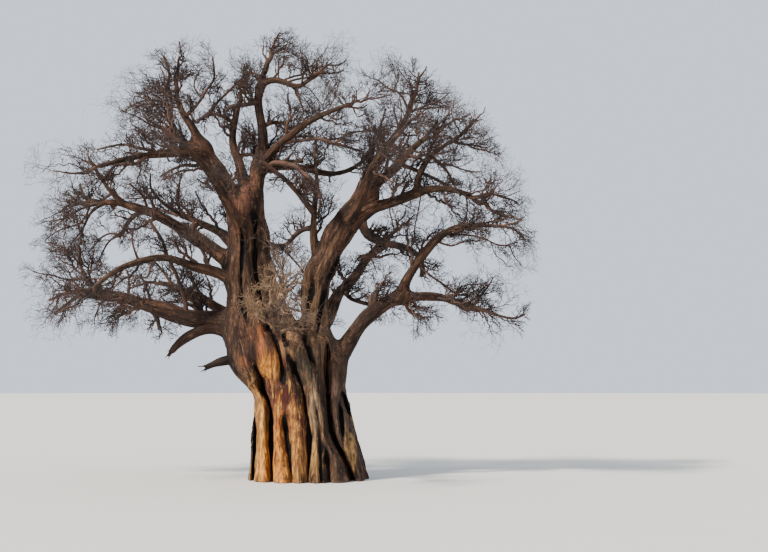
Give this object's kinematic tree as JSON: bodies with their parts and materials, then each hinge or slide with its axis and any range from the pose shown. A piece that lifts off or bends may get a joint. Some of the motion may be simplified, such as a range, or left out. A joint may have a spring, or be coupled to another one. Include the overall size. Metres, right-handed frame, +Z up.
{
  "type": "baobab tree",
  "caption": "Large leafless baobab with a broad fluted trunk, a forked pair of stems, spreading tapered boughs and a round crown of bare twigs.",
  "frame": {"origin": "ground level, under the middle of the trunk, on the flat cut under it", "axes": "+Z up; the widest spread of the crown lies along X, and the pictured side faces -Y"},
  "size_m": [18.5438, 16.1026, 16.2804],
  "materials": {
    "trunk_bark": "matt folded bark, ochre and orange-brown where it peels, grey-brown elsewhere, dark in the folds",
    "bough_bark": "matt dark red-brown bark, paler on the upper sides and pinkish at the forks",
    "twigs": "matt dark grey-brown bare twigs"
  },
  "bodies": {
    "root": {"trunk": "trunk_bark", "left_stem": "bough_bark", "right_stem": "bough_bark", "right_low": "bough_bark", "great_low_left": "bough_bark", "hooked_stub": "bough_bark", "short_stub": "bough_bark", "front_low": "bough_bark", "back_centre": "bough_bark", "back_right": "bough_bark", "great_left": "bough_bark", "great_left_low": "bough_bark", "lower_left_inner": "bough_bark", "low_left_riser": "bough_bark", "upper_left": "bough_bark", "top_left": "bough_bark", "high_left": "bough_bark", "far_left_high": "bough_bark", "middle_stem": "bough_bark", "centre_stem": "bough_bark", "centre_right_arm": "bough_bark", "crossing_high": "bough_bark", "crossing_low": "bough_bark", "centre_fork": "bough_bark", "right_high": "bough_bark", "right_diagonal": "bough_bark", "right_outer": "bough_bark", "right_sweep": "bough_bark", "right_low_riser": "bough_bark", "front_left": "bough_bark", "front_right": "bough_bark", "back_left": "bough_bark", "back_high": "bough_bark", "twigs_right_low": "twigs", "twigs_great_low_left": "twigs", "twigs_front_low": "twigs", "twigs_back_centre": "twigs", "twigs_back_right": "twigs", "twigs_great_left": "twigs", "twigs_great_left_low": "twigs", "twigs_lower_left_inner": "twigs", "twigs_low_left_riser": "twigs", "twigs_top_left": "twigs", "twigs_high_left": "twigs", "twigs_far_left_high": "twigs", "twigs_middle_stem": "twigs", "twigs_centre_stem": "twigs", "twigs_centre_right_arm": "twigs", "twigs_crossing_high": "twigs", "twigs_crossing_low": "twigs", "twigs_centre_fork": "twigs", "twigs_right_high": "twigs", "twigs_right_diagonal": "twigs", "twigs_right_outer": "twigs", "twigs_right_sweep": "twigs", "twigs_right_low_riser": "twigs", "twigs_front_left": "twigs", "twigs_front_right": "twigs", "twigs_back_left": "twigs", "twigs_back_high": "twigs"}
  },
  "joints": []
}
